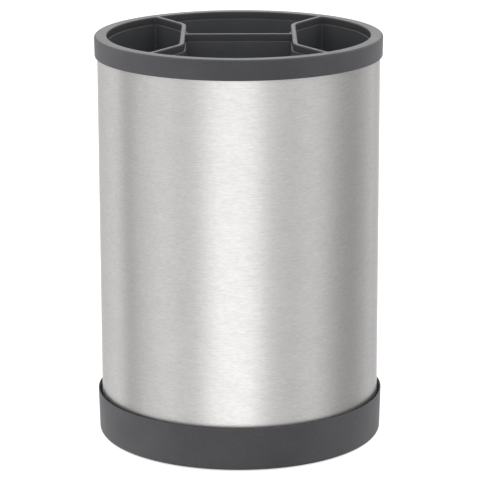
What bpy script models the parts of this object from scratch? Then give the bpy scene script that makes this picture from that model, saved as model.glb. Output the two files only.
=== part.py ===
"""Utensil holder: a brushed steel sleeve on a moulded base, with a divided insert that lifts out.

Units are metres and +Z is up. The pads rest on the plane z = 0 and the sleeve's axis is the Z axis.
The front faces -Y. The sleeve stands in a groove of the base. The insert is two mouldings, a rim
frame and a liner, and hangs by its rim on the sleeve's top edge.
"""

import math

import bmesh
import bpy

# Clearances and mesh density
CLEARANCE = 0.0003
CUT_OVERRUN = 0.0020
JOIN_OVERLAP = 0.0004
ROUND_SEGMENTS = 72
ROUND_STEPS = 3
MERGE_DISTANCE = 0.00001

# Steel sleeve
SLEEVE_RADIUS = 0.0637
SLEEVE_WALL = 0.0006
SLEEVE_HEIGHT = 0.1780

# Base: skirt, groove for the sleeve, floor and foot ring
BASE_HEIGHT = 0.0198
BASE_WALL = 0.0015
BASE_FLOOR = 0.0020
BASE_DRAFT = 0.0005
FOOT_ROUND = 0.0017
FOOT_RECESS = 0.0020
FOOT_RING_WIDTH = 0.0060
LIP_ROUND = 0.0005
LEAD_IN_WIDTH = 0.0004
LEAD_IN_DEPTH = 0.0018

# Base: locating ring inside the sleeve, with crush ribs that grip the steel
LOCATOR_HEIGHT = 0.0075
LOCATOR_WALL = 0.0012
LOCATOR_LEAD = 0.0004
CRUSH_RIB_WIDTH = 0.0012
CRUSH_RIB_COUNT = 12

# Base: ribs and pad sockets on the underside
HUB_RADIUS = 0.0120
HUB_WALL = 0.0014
UNDER_RING_DEPTH = 0.0014
UNDER_RIB_WIDTH = 0.0014
UNDER_RIB_DEPTH = 0.0010
UNDER_RIB_COUNT = 12
SOCKET_WALL = 0.0012
SOCKET_INSET = 0.0025

# Non-slip pads
PAD_RADIUS = 0.0065
PAD_PROUD = 0.0005
PAD_CHAMFER = 0.0004
PAD_COUNT = 4
PAD_SEGMENTS = 24

# Rim frame: skirt outside the sleeve, spigot inside it, flange across its top edge
FLANGE_THICKNESS = 0.0022
RIM_HEIGHT = 0.0091
RIM_SKIRT_WALL = 0.0010
RIM_SKIRT_DRAFT = 0.00015
RIM_EDGE_ROUND = 0.0010
SPIGOT_WALL = 0.0016
SPIGOT_DEPTH = 0.0062
SPIGOT_LEAD = 0.0004
CAP_DEPTH = 0.0032
CAP_EDGE_ROUND = 0.0006

# Partitions, seen from above: a divider on the X axis between two side walls, each of which is
# straight in the middle and turns out to the rim at both ends
PARTITION_CAP = 0.0022
SIDE_WALL_OFFSET = 0.0250
SIDE_WALL_CORNER = 0.0260
SIDE_WALL_BEND = 0.0140
SIDE_WALL_ANGLE = math.radians(57.3)
CELL_CORNER_ROUND = 0.0008
MAX_ROUND_SHARE = 0.25

# Liner: four cells in one cup
LINER_WALL = 0.0021
LINER_FLOOR = 0.0020
LINER_FLOOR_GAP = 0.0014
LINER_DRAFT = 0.0006
LINER_FOOT_ROUND = 0.0015
CELL_LEDGE = 0.0005
CELL_DRAFT = 0.0003
CELL_FLOOR_ROUND = 0.0020
DRAIN_RADIUS = 0.0018
DRAIN_PITCH = 0.0150
DRAIN_COUNT = 3
DRAIN_SEGMENTS = 12

# Snap bead on the liner and its groove in the spigot
BEAD_HEIGHT = 0.0005
BEAD_WIDTH = 0.0018
BEAD_DROP = 0.0030

# Steps along each stretch of a cell's outline
SIDE_ARC_STEPS = 18
CENTRE_ARC_STEPS = 16
BEND_STEPS = 5
CORNER_STEPS = 3

# Heights, bottom to top
FOOT_Z = PAD_PROUD
RECESS_Z = FOOT_Z + FOOT_RECESS
BASE_FLOOR_Z = RECESS_Z + BASE_FLOOR
LIP_Z = FOOT_Z + BASE_HEIGHT
LINER_BOTTOM_Z = BASE_FLOOR_Z + LINER_FLOOR_GAP
CELL_FLOOR_Z = LINER_BOTTOM_Z + LINER_FLOOR
SLEEVE_BOTTOM_Z = BASE_FLOOR_Z + CLEARANCE
SLEEVE_TOP_Z = SLEEVE_BOTTOM_Z + SLEEVE_HEIGHT
FLANGE_Z = SLEEVE_TOP_Z + CLEARANCE
RIM_TOP_Z = FLANGE_Z + FLANGE_THICKNESS
CAP_Z = RIM_TOP_Z - CAP_DEPTH
LINER_TOP_Z = CAP_Z - CLEARANCE
BEAD_Z = LINER_TOP_Z - BEAD_DROP

# Radii, outside to inside
SLEEVE_INNER = SLEEVE_RADIUS - SLEEVE_WALL
GROOVE_RADIUS = SLEEVE_RADIUS + CLEARANCE
LIP_RADIUS = GROOVE_RADIUS + BASE_WALL
FOOT_RADIUS = LIP_RADIUS - BASE_DRAFT
RIM_RADIUS = GROOVE_RADIUS + RIM_SKIRT_WALL
SPIGOT_OUTER = SLEEVE_INNER - CLEARANCE
SPIGOT_INNER = SPIGOT_OUTER - SPIGOT_WALL
LINER_RADIUS = SPIGOT_INNER - CLEARANCE
LINER_FOOT_RADIUS = LINER_RADIUS - LINER_DRAFT
CELL_RADIUS = LINER_RADIUS - LINER_WALL
RIM_OPENING = CELL_RADIUS + CELL_LEDGE
LOCATOR_INNER = LINER_FOOT_RADIUS + CLEARANCE
LOCATOR_OUTER = LOCATOR_INNER + LOCATOR_WALL
RECESS_RADIUS = FOOT_RADIUS - FOOT_RING_WIDTH
SOCKET_INNER = PAD_RADIUS + CLEARANCE
SOCKET_OUTER = SOCKET_INNER + SOCKET_WALL
PAD_CIRCLE = RECESS_RADIUS - SOCKET_INSET - SOCKET_OUTER

# Partition half thicknesses
CAP_HALF = PARTITION_CAP / 2
CELL_HALF = CAP_HALF + CELL_LEDGE


def clear_scene():
    """Remove every object of the scene the script runs in."""
    for item in list(bpy.data.objects):
        bpy.data.objects.remove(item, do_unlink=True)


def make_material(name, colour, roughness, metallic):
    """Return a Principled material."""
    material = bpy.data.materials.new(name)
    material.use_nodes = True
    shader = material.node_tree.nodes["Principled BSDF"]
    shader.inputs["Base Color"].default_value = (*colour, 1.0)
    shader.inputs["Roughness"].default_value = roughness
    shader.inputs["Metallic"].default_value = metallic
    material.diffuse_color = (*colour, 1.0)
    return material


def make_object(name, bm, material=None, parent=None):
    """Turn a bmesh into a named object with its faces pointing out."""
    bmesh.ops.remove_doubles(bm, verts=bm.verts, dist=MERGE_DISTANCE)
    bmesh.ops.recalc_face_normals(bm, faces=bm.faces)
    mesh = bpy.data.meshes.new(name)
    bm.to_mesh(mesh)
    bm.free()
    mesh.shade_smooth()
    mesh.set_sharp_from_angle(angle=math.radians(30))
    item = bpy.data.objects.new(name, mesh)
    bpy.context.collection.objects.link(item)
    if material:
        mesh.materials.append(material)
    if parent:
        item.parent = parent
        item.matrix_parent_inverse = parent.matrix_world.inverted()
    return item


def make_cutter(name, bm):
    """Turn a bmesh into a guide that only shapes other objects."""
    cutter = make_object(name, bm)
    cutter.hide_render = True
    cutter.display_type = 'WIRE'
    return cutter


def combine(item, guide, operation):
    """Cut the guide from the item, or join it on, with an exact Boolean."""
    modifier = item.modifiers.new(f"{operation.lower()} {guide.name}", 'BOOLEAN')
    modifier.operation = operation
    modifier.solver = 'EXACT'
    modifier.object = guide


def arc(centre, radius, start, end, steps):
    """Return the points of an arc, both ends included; angles in radians."""
    points = []
    for step in range(steps + 1):
        angle = start + (end - start) * step / steps
        points.append((centre[0] + radius * math.cos(angle), centre[1] + radius * math.sin(angle)))
    return points


def spin_profile(bm, profile, segments, closed):
    """Spin an (r, z) profile once round the Z axis.

    A closed profile makes a ring. An open one makes a solid whose two ends are capped by flat discs.
    """
    verts = [bm.verts.new((radius, 0.0, height)) for radius, height in profile]
    edges = [bm.edges.new(pair) for pair in zip(verts, verts[1:])]
    if closed:
        edges.append(bm.edges.new((verts[-1], verts[0])))
    bmesh.ops.spin(bm, geom=verts + edges, cent=(0.0, 0.0, 0.0), axis=(0.0, 0.0, 1.0),
                   angle=math.tau, steps=segments, use_merge=True)
    bmesh.ops.remove_doubles(bm, verts=bm.verts, dist=MERGE_DISTANCE)
    if not closed:
        rims = [edge for edge in bm.edges if len(edge.link_faces) == 1]
        bmesh.ops.holes_fill(bm, edges=rims, sides=0)


def turned(profile, segments=ROUND_SEGMENTS, closed=True):
    """Return a bmesh turned from an (r, z) profile."""
    bm = bmesh.new()
    spin_profile(bm, profile, segments, closed)
    return bm


def prism(bm, outline, low, high):
    """Add an upright prism over a plan outline."""
    bottom = bm.faces.new([bm.verts.new((x, y, low)) for x, y in outline])
    moved = bmesh.ops.extrude_face_region(bm, geom=[bottom])["geom"]
    rise = [vert for vert in moved if isinstance(vert, bmesh.types.BMVert)]
    bmesh.ops.translate(bm, verts=rise, vec=(0.0, 0.0, high - low))


def radial_bar(angle, inner, outer, width):
    """Return the plan outline of a bar that runs out from the axis."""
    half = width / 2
    corners = [(inner, -half), (outer, -half), (outer, half), (inner, half)]
    cos, sin = math.cos(angle), math.sin(angle)
    return [(x * cos - y * sin, x * sin + y * cos) for x, y in corners]


def side_wall_frame():
    """Return the bend's centre and the slanted stretch's corner, direction and normal.

    They belong to the quarter x > 0, y > 0. The normal points into the side cell.
    """
    corner = (SIDE_WALL_OFFSET, SIDE_WALL_CORNER)
    along = (math.cos(SIDE_WALL_ANGLE), math.sin(SIDE_WALL_ANGLE))
    normal = (along[1], -along[0])
    bend_y = SIDE_WALL_CORNER - SIDE_WALL_BEND * (1 - math.sin(SIDE_WALL_ANGLE)) / math.cos(SIDE_WALL_ANGLE)
    return (SIDE_WALL_OFFSET + SIDE_WALL_BEND, bend_y), corner, along, normal


def corner_centre(radius, offset):
    """Return the centre of the fillet between the slanted wall and the round wall.

    It lies at the given signed distance from the slanted centre line, inside a circle of the radius.
    """
    _, corner, along, normal = side_wall_frame()
    start = (corner[0] + offset * normal[0], corner[1] + offset * normal[1])
    forward = start[0] * along[0] + start[1] * along[1]
    run = math.sqrt(forward ** 2 - start[0] ** 2 - start[1] ** 2 + radius ** 2) - forward
    return start[0] + run * along[0], start[1] + run * along[1]


def side_cell(radius, half):
    """Return the outline of the +X cell, between a circle and a side wall of the half thickness."""
    bend, _, _, _ = side_wall_frame()
    turn = math.pi / 2 + SIDE_WALL_ANGLE
    fillet = corner_centre(radius - CELL_CORNER_ROUND, half + CELL_CORNER_ROUND)
    reach = math.atan2(fillet[1], fillet[0])
    upper = arc(bend, SIDE_WALL_BEND - half, math.pi, turn, BEND_STEPS)
    upper += arc(fillet, CELL_CORNER_ROUND, turn, reach, CORNER_STEPS)
    outer = arc((0.0, 0.0), radius, reach, -reach, SIDE_ARC_STEPS)[1:-1]
    lower = [(x, -y) for x, y in reversed(upper)]
    return upper + outer + lower


def centre_cell(radius, half):
    """Return the outline of the +Y cell, between a circle, the two side walls and the divider."""
    bend, _, _, _ = side_wall_frame()
    turn = math.pi / 2 + SIDE_WALL_ANGLE
    fillet = corner_centre(radius - CELL_CORNER_ROUND, -half - CELL_CORNER_ROUND)
    reach = math.atan2(fillet[1], fillet[0])
    foot = (SIDE_WALL_OFFSET - half - CELL_CORNER_ROUND, half + CELL_CORNER_ROUND)
    right = arc(foot, CELL_CORNER_ROUND, -math.pi / 2, 0.0, CORNER_STEPS)
    right += arc(bend, SIDE_WALL_BEND + half, math.pi, turn, BEND_STEPS)
    right += arc(fillet, CELL_CORNER_ROUND, turn - math.pi, reach, CORNER_STEPS)
    outer = arc((0.0, 0.0), radius, reach, math.pi - reach, CENTRE_ARC_STEPS)[1:-1]
    left = [(-x, y) for x, y in reversed(right)]
    return right + outer + left


def half_turn(outline):
    """Return an outline turned by 180 degrees about the axis."""
    return [(-x, -y) for x, y in outline]


def loft_cells(levels, radius, half):
    """Return a bmesh of the four cells, lofted through (height, inset) levels.

    Each level's inset makes the cells smaller all round, or larger where it is negative.
    """
    bm = bmesh.new()
    for outline in (side_cell, centre_cell):
        for place in (list, half_turn):
            loops = []
            for height, inset in levels:
                points = place(outline(radius - inset, half + inset))
                loops.append([bm.verts.new((x, y, height)) for x, y in points])
            for below, above in zip(loops, loops[1:]):
                for index, vert in enumerate(below):
                    following = (index + 1) % len(below)
                    bm.faces.new((vert, below[following], above[following], above[index]))
            bm.faces.new(loops[0])
            bm.faces.new(loops[-1])
    return bm


def build_sleeve(material):
    """Rolled steel tube, open at both ends, whose bottom edge stands in the base's groove."""
    profile = [(SLEEVE_RADIUS, SLEEVE_TOP_Z), (SLEEVE_RADIUS, SLEEVE_BOTTOM_Z),
               (SLEEVE_INNER, SLEEVE_BOTTOM_Z), (SLEEVE_INNER, SLEEVE_TOP_Z)]
    return make_object("steel_sleeve", turned(profile), material)


def base_profile():
    """Return the base's section, from the recess under its floor round to the floor's top."""
    profile = [(RECESS_RADIUS, RECESS_Z), (RECESS_RADIUS, FOOT_Z)]
    profile += arc((FOOT_RADIUS - FOOT_ROUND, FOOT_Z + FOOT_ROUND), FOOT_ROUND,
                   -math.pi / 2, 0.0, ROUND_STEPS)
    profile += arc((LIP_RADIUS - LIP_ROUND, LIP_Z - LIP_ROUND), LIP_ROUND,
                   0.0, math.pi / 2, ROUND_STEPS)
    profile += [(GROOVE_RADIUS + LEAD_IN_WIDTH, LIP_Z), (GROOVE_RADIUS, LIP_Z - LEAD_IN_DEPTH),
                (GROOVE_RADIUS, BASE_FLOOR_Z), (LOCATOR_OUTER, BASE_FLOOR_Z)]
    locator_top = BASE_FLOOR_Z + LOCATOR_HEIGHT
    profile += [(LOCATOR_OUTER, locator_top - LOCATOR_LEAD), (LOCATOR_OUTER - LOCATOR_LEAD, locator_top),
                (LOCATOR_INNER + LOCATOR_LEAD, locator_top), (LOCATOR_INNER, locator_top - LOCATOR_LEAD),
                (LOCATOR_INNER, BASE_FLOOR_Z)]
    return profile


def crush_ribs():
    """Return a bmesh of the upright ribs that fill the groove from the locating ring to the steel."""
    bm = bmesh.new()
    inner = LOCATOR_OUTER - JOIN_OVERLAP
    outer = SLEEVE_INNER - CLEARANCE
    top = BASE_FLOOR_Z + LOCATOR_HEIGHT - LOCATOR_LEAD
    for index in range(CRUSH_RIB_COUNT):
        angle = math.tau * index / CRUSH_RIB_COUNT
        prism(bm, radial_bar(angle, inner, outer, CRUSH_RIB_WIDTH), BASE_FLOOR_Z - JOIN_OVERLAP, top)
    return bm


def pad_angles():
    """Return the angles at which the pads stand, between the ribs of the underside."""
    return [math.tau * (index + 1 / 2) / PAD_COUNT for index in range(PAD_COUNT)]


def under_rings():
    """Return a bmesh of the hub ring and the four pad sockets under the floor."""
    bm = bmesh.new()
    low = RECESS_Z - UNDER_RING_DEPTH
    high = RECESS_Z + JOIN_OVERLAP
    hub = [(HUB_RADIUS, low), (HUB_RADIUS, high), (HUB_RADIUS - HUB_WALL, high), (HUB_RADIUS - HUB_WALL, low)]
    spin_profile(bm, hub, PAD_SEGMENTS, closed=True)
    socket = [(SOCKET_OUTER, low), (SOCKET_OUTER, high), (SOCKET_INNER, high), (SOCKET_INNER, low)]
    for angle in pad_angles():
        ring = turned(socket, PAD_SEGMENTS)
        place = (PAD_CIRCLE * math.cos(angle), PAD_CIRCLE * math.sin(angle), 0.0)
        bmesh.ops.translate(ring, verts=ring.verts, vec=place)
        mesh = bpy.data.meshes.new("socket")
        ring.to_mesh(mesh)
        ring.free()
        bm.from_mesh(mesh)
        bpy.data.meshes.remove(mesh)
    return bm


def under_ribs():
    """Return a bmesh of the ribs that run from the hub ring to the foot ring."""
    bm = bmesh.new()
    inner = HUB_RADIUS - HUB_WALL / 2
    outer = RECESS_RADIUS + JOIN_OVERLAP
    low = RECESS_Z - UNDER_RIB_DEPTH
    for index in range(UNDER_RIB_COUNT):
        angle = math.tau * index / UNDER_RIB_COUNT
        prism(bm, radial_bar(angle, inner, outer, UNDER_RIB_WIDTH), low, RECESS_Z + JOIN_OVERLAP)
    return bm


def build_base(material):
    """Moulded base: skirt and lip round the sleeve, locating ring, floor and ribbed underside."""
    base = make_object("base_tray", turned(base_profile(), closed=False), material)
    combine(base, make_cutter("crush_ribs", crush_ribs()), 'UNION')
    combine(base, make_cutter("under_rings", under_rings()), 'UNION')
    combine(base, make_cutter("under_ribs", under_ribs()), 'UNION')
    return base


def build_pads(material):
    """Round non-slip pads, one in each socket, that stand a little proud of the foot ring."""
    top = RECESS_Z - CLEARANCE
    profile = [(PAD_RADIUS - PAD_CHAMFER, 0.0), (PAD_RADIUS, PAD_CHAMFER), (PAD_RADIUS, top)]
    for number, angle in enumerate(pad_angles(), start=1):
        pad = make_object(f"pad_{number}", turned(profile, PAD_SEGMENTS, closed=False), material)
        pad.location = (PAD_CIRCLE * math.cos(angle), PAD_CIRCLE * math.sin(angle), 0.0)


def frame_profile():
    """Return the rim frame's section, from its flat top down the skirt and up round the spigot."""
    skirt_z = RIM_TOP_Z - RIM_HEIGHT
    spigot_z = FLANGE_Z - SPIGOT_DEPTH
    profile = [(RIM_OPENING - CUT_OVERRUN, RIM_TOP_Z)]
    profile += arc((RIM_RADIUS - RIM_EDGE_ROUND, RIM_TOP_Z - RIM_EDGE_ROUND), RIM_EDGE_ROUND,
                   math.pi / 2, 0.0, ROUND_STEPS)
    profile += [(RIM_RADIUS - RIM_SKIRT_DRAFT, skirt_z), (GROOVE_RADIUS, skirt_z), (GROOVE_RADIUS, FLANGE_Z),
                (SPIGOT_OUTER, FLANGE_Z), (SPIGOT_OUTER, spigot_z + SPIGOT_LEAD),
                (SPIGOT_OUTER - SPIGOT_LEAD, spigot_z), (SPIGOT_INNER, spigot_z)]
    profile += [(SPIGOT_INNER, BEAD_Z - BEAD_WIDTH / 2 - CLEARANCE),
                (SPIGOT_INNER + BEAD_HEIGHT, BEAD_Z),
                (SPIGOT_INNER, BEAD_Z + BEAD_WIDTH / 2 + CLEARANCE)]
    profile += [(SPIGOT_INNER, CAP_Z), (RIM_OPENING - CUT_OVERRUN, CAP_Z)]
    return profile


def frame_cell_levels():
    """Return the levels of the frame's four openings, which flare out into rounded top edges."""
    edge = min(CAP_EDGE_ROUND, MAX_ROUND_SHARE * PARTITION_CAP)
    levels = [(CAP_Z - CUT_OVERRUN, 0.0)]
    rounding = arc((-edge, RIM_TOP_Z - edge), edge, 0.0, math.pi / 2, ROUND_STEPS)
    levels += [(height, inset) for inset, height in rounding[:-1]]
    last, flat = rounding[-2], rounding[-1]
    levels.append((2 * flat[1] - last[1], 2 * flat[0] - last[0]))
    return levels


def build_frame(material, parent):
    """Rim with the tops of the partitions, all flush, and a channel that takes the sleeve's edge."""
    frame = make_object("rim_frame", turned(frame_profile(), closed=False), material, parent)
    cells = loft_cells(frame_cell_levels(), RIM_OPENING, CAP_HALF)
    combine(frame, make_cutter("frame_cells", cells), 'DIFFERENCE')
    return frame


def liner_profile():
    """Return the liner's outer section, from its underside up past the snap bead to its top edge."""
    profile = arc((LINER_FOOT_RADIUS - LINER_FOOT_ROUND, LINER_BOTTOM_Z + LINER_FOOT_ROUND), LINER_FOOT_ROUND,
                  -math.pi / 2, 0.0, ROUND_STEPS)
    profile += [(LINER_RADIUS, BEAD_Z - BEAD_WIDTH / 2), (LINER_RADIUS + BEAD_HEIGHT, BEAD_Z),
                (LINER_RADIUS, BEAD_Z + BEAD_WIDTH / 2), (LINER_RADIUS, LINER_TOP_Z)]
    return profile


def liner_cell_levels():
    """Return the levels of the liner's cells: drafted walls that run into the floor in a fillet."""
    levels = [(LINER_TOP_Z + CUT_OVERRUN, 0.0)]
    rounding = arc((CELL_DRAFT + CELL_FLOOR_ROUND, CELL_FLOOR_Z + CELL_FLOOR_ROUND), CELL_FLOOR_ROUND,
                   math.pi, math.pi * 3 / 2, ROUND_STEPS)
    levels += [(height, inset) for inset, height in rounding]
    return levels


def drain_places():
    """Return the centres of the drain holes, a row of them across the middle of each cell."""
    side_x = (SIDE_WALL_OFFSET + CELL_RADIUS) / 2
    centre_y = CELL_RADIUS / 2
    places = []
    for index in range(DRAIN_COUNT):
        shift = DRAIN_PITCH * (index - (DRAIN_COUNT - 1) / 2)
        places += [(side_x, shift), (-side_x, shift), (shift, centre_y), (shift, -centre_y)]
    return places


def drain_holes():
    """Return a bmesh of the plugs that cut the drain holes."""
    bm = bmesh.new()
    for place in drain_places():
        outline = arc(place, DRAIN_RADIUS, 0.0, math.tau, DRAIN_SEGMENTS)[:-1]
        prism(bm, outline, LINER_BOTTOM_Z - CUT_OVERRUN, CELL_FLOOR_Z + CUT_OVERRUN)
    return bm


def build_liner(material, parent):
    """Deep cup with four cells, whose walls carry on below the partition tops of the frame."""
    liner = make_object("cell_liner", turned(liner_profile(), closed=False), material, parent)
    cells = loft_cells(liner_cell_levels(), CELL_RADIUS, CELL_HALF)
    combine(liner, make_cutter("liner_cells", cells), 'DIFFERENCE')
    combine(liner, make_cutter("drain_holes", drain_holes()), 'DIFFERENCE')
    return liner


def build_insert_origin():
    """Return the empty that carries the insert, on the axis along which it lifts out."""
    origin = bpy.data.objects.new("insert_origin", None)
    origin.location = (0.0, 0.0, FLANGE_Z)
    bpy.context.collection.objects.link(origin)
    bpy.context.view_layer.update()
    return origin


def main():
    """Build the holder."""
    clear_scene()
    steel = make_material("brushed_stainless", (0.62, 0.62, 0.61), 0.32, 1.0)
    charcoal = make_material("charcoal_polypropylene", (0.075, 0.075, 0.078), 0.48, 0.0)
    rubber = make_material("black_rubber", (0.02, 0.02, 0.02), 0.8, 0.0)
    build_base(charcoal)
    build_pads(rubber)
    build_sleeve(steel)
    insert = build_insert_origin()
    build_frame(charcoal, insert)
    build_liner(charcoal, insert)


main()
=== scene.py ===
"""Looks of a utensil holder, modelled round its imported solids.

A brushed steel sleeve stands in a moulded base. A divided insert, made of a rim frame and a liner with
four cells, hangs by its rim on the sleeve's top edge and lifts out. Units are metres, +Z is up and the
front faces -Y.
"""

from __future__ import annotations

import logging
import math
from dataclasses import dataclass, replace
from enum import Enum
from typing import Any, Callable, Iterable, Sequence

import bmesh
import bpy
from bpy.types import Material, Node, NodeSocket, NodeTree, Object, World
from mathutils import Euler, Matrix, Vector

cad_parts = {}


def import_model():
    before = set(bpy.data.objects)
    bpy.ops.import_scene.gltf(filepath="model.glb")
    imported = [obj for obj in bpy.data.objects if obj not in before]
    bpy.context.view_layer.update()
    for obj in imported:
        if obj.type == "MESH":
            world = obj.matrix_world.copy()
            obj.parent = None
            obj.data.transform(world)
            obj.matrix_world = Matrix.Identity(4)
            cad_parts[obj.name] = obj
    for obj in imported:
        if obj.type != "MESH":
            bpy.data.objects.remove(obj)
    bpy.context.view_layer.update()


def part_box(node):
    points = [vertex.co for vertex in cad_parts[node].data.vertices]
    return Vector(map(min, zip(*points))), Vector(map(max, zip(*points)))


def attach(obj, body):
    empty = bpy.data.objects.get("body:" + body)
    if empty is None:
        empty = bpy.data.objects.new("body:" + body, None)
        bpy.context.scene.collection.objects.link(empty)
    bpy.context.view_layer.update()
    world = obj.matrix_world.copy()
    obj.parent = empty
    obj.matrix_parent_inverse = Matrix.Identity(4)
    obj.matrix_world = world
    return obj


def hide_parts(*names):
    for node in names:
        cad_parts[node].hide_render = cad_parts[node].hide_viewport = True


LOG = logging.getLogger("utensil_holder")

MM = 0.001

PEN_SIZE = 0.1 * MM
MERGE = 0.004 * MM
PLANE_TOLERANCE = 0.01 * MM
OVERRUN = 2.0 * MM
SEAT_GAP = 0.3 * MM
TURN_STEPS = 256
SMALL_TURN_STEPS = 64
ROUND_STEP = math.radians(11.25)
LEAST_CHORDS = 2
BEVEL_STEPS = 2
SMOOTH_ANGLE = math.radians(32)
FLAT_ANGLE = math.radians(0.1)
PADS = ("pad_1", "pad_2", "pad_3", "pad_4")
GRAIN_DETAIL = 2.0
CLOUD_DETAIL = 3.0

Point = tuple[float, float]
Place = tuple[float, float, float]
Corner = tuple[float, float, float]
Colour = tuple[float, float, float, float]

ORIGIN: Place = (0.0, 0.0, 0.0)
UP: Place = (0.0, 0.0, 1.0)
WHITE: Colour = (1.0, 1.0, 1.0, 1.0)


class Body(Enum):
    """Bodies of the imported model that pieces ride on."""

    STAND = "stand"
    INSERT = "insert"


class Slot(Enum):
    """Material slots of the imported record."""

    STEEL = "brushed_stainless"
    PLASTIC = "charcoal_plastic"
    RUBBER = "pad_rubber"


class Sheet(Enum):
    """Planes that the pen draws on, each with the axis that its arcs turn about."""

    SECTION = (0.0, -1.0, 0.0)
    PLAN = UP


class CellKind(Enum):
    """The two cell shapes: a side cell on +X and a centre cell on +Y."""

    SIDE = "side"
    CENTRE = "centre"


def srgb(code: str) -> Colour:
    """Turns an sRGB hex value into linear RGBA.

    Args:
        code: Six hex digits after a hash.

    Returns:
        The linear colour, with an alpha of 1.
    """
    parts = [int(code[i:i + 2], 16) / 255 for i in (1, 3, 5)]
    linear = [c / 12.92 if c <= 0.04045 else ((c + 0.055) / 1.055) ** 2.4 for c in parts]
    return (linear[0], linear[1], linear[2], 1.0)


def add_node(tree: NodeTree, kind: str, inputs: dict[Any, Any] | None = None, **settings: Any) -> Node:
    """Adds a node with its settings and links.

    Args:
        tree: The node tree.
        kind: The node's type, without its ShaderNode prefix.
        inputs: What each input takes, by name or number: a value, a socket, or a node to link from.
        settings: The node's own properties.

    Returns:
        The node.
    """
    node = tree.nodes.new("ShaderNode" + kind)
    for name, value in settings.items():
        setattr(node, name, value)
    for name, value in (inputs or {}).items():
        if isinstance(value, Node):
            value = value.outputs[0]
        if isinstance(value, NodeSocket):
            tree.links.new(value, node.inputs[name])
        else:
            node.inputs[name].default_value = value
    return node


def blank_tree(owner: Material | World) -> NodeTree:
    """Empties the node tree of a material or world.

    Args:
        owner: The material or world.

    Returns:
        Its tree.
    """
    owner.use_nodes = True
    owner.node_tree.nodes.clear()
    return owner.node_tree


def leave() -> None:
    """Goes back to object mode."""
    bpy.ops.object.mode_set(mode="OBJECT")


def deselect() -> None:
    """Leaves every object deselected, in object mode."""
    if bpy.context.object and bpy.context.object.mode != "OBJECT":
        leave()
    bpy.ops.object.select_all(action="DESELECT")


def pick(piece: Object) -> None:
    """Makes a piece the only selected object and the active one.

    Args:
        piece: The piece.
    """
    deselect()
    piece.select_set(True)
    bpy.context.view_layer.objects.active = piece


def edit(piece: Object, mode: str = "VERT", action: str = "SELECT") -> None:
    """Enters edit mode on a piece.

    Args:
        piece: The piece.
        mode: VERT, EDGE or FACE, the kind of element to select.
        action: SELECT for all of them, or DESELECT for none.
    """
    pick(piece)
    bpy.ops.object.mode_set(mode="EDIT")
    bpy.ops.mesh.select_mode(type=mode)
    bpy.ops.mesh.select_all(action=action)


def select_where(piece: Object, mode: str, wanted: Callable[[Any], bool]) -> None:
    """Enters edit mode on a piece and selects what a test picks by its place.

    Args:
        piece: The piece.
        mode: EDGE or FACE.
        wanted: The test of an edge or face.
    """
    edit(piece, mode, "DESELECT")
    bm = bmesh.from_edit_mesh(piece.data)
    for part in bm.faces if mode == "FACE" else bm.edges:
        if wanted(part):
            part.select_set(True)
    bmesh.update_edit_mesh(piece.data)


def clean(piece: Object) -> None:
    """Merges doubled vertices and points all faces outwards.

    Args:
        piece: The piece.
    """
    edit(piece)
    bpy.ops.mesh.remove_doubles(threshold=MERGE)
    bpy.ops.mesh.normals_make_consistent(inside=False)
    leave()


def apply_modifier(piece: Object, kind: str, **settings: Any) -> None:
    """Adds a modifier and applies it.

    Args:
        piece: The piece.
        kind: The modifier's type.
        settings: The modifier's own properties.
    """
    pick(piece)
    modifier = piece.modifiers.new(kind.lower(), kind)
    for name, value in settings.items():
        setattr(modifier, name, value)
    bpy.ops.object.modifier_apply(modifier=modifier.name)


def combine(piece: Object, tool: Object, operation: str) -> None:
    """Joins a tool shape to a piece or cuts it away, then removes the tool.

    Args:
        piece: The piece that stays.
        tool: The shape that is joined on or cut away.
        operation: UNION or DIFFERENCE.
    """
    apply_modifier(piece, "BOOLEAN", operation=operation, solver="EXACT", object=tool)
    bpy.data.objects.remove(tool, do_unlink=True)
    clean(piece)


def turned_copy(piece: Object, name: str, angle: float) -> Object:
    """Copies a piece with its mesh and turns the copy about the Z axis.

    Args:
        piece: The piece.
        name: The copy's name.
        angle: The turn, counter-clockwise seen from above. The operator turns the other way.

    Returns:
        The copy.
    """
    twin = piece.copy()
    twin.data = piece.data.copy()
    twin.name = name
    bpy.context.scene.collection.objects.link(twin)
    edit(twin)
    bpy.ops.transform.rotate(value=-angle, orient_axis="Z", center_override=ORIGIN)
    leave()
    return twin


def move_to(piece: Object, node: str) -> None:
    """Moves a piece from the Z axis to a CAD node's middle, at its own height.

    Args:
        piece: The piece.
        node: The CAD node.
    """
    low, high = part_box(node)
    edit(piece)
    bpy.ops.transform.translate(value=((low.x + high.x) / 2, (low.y + high.y) / 2, 0.0))
    leave()


def join(pieces: Sequence[Object]) -> Object:
    """Joins pieces into one.

    Args:
        pieces: The pieces.

    Returns:
        The first of them, which now holds them all.
    """
    pick(pieces[0])
    for piece in pieces[1:]:
        piece.select_set(True)
    bpy.ops.object.join()
    return pieces[0]


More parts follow.
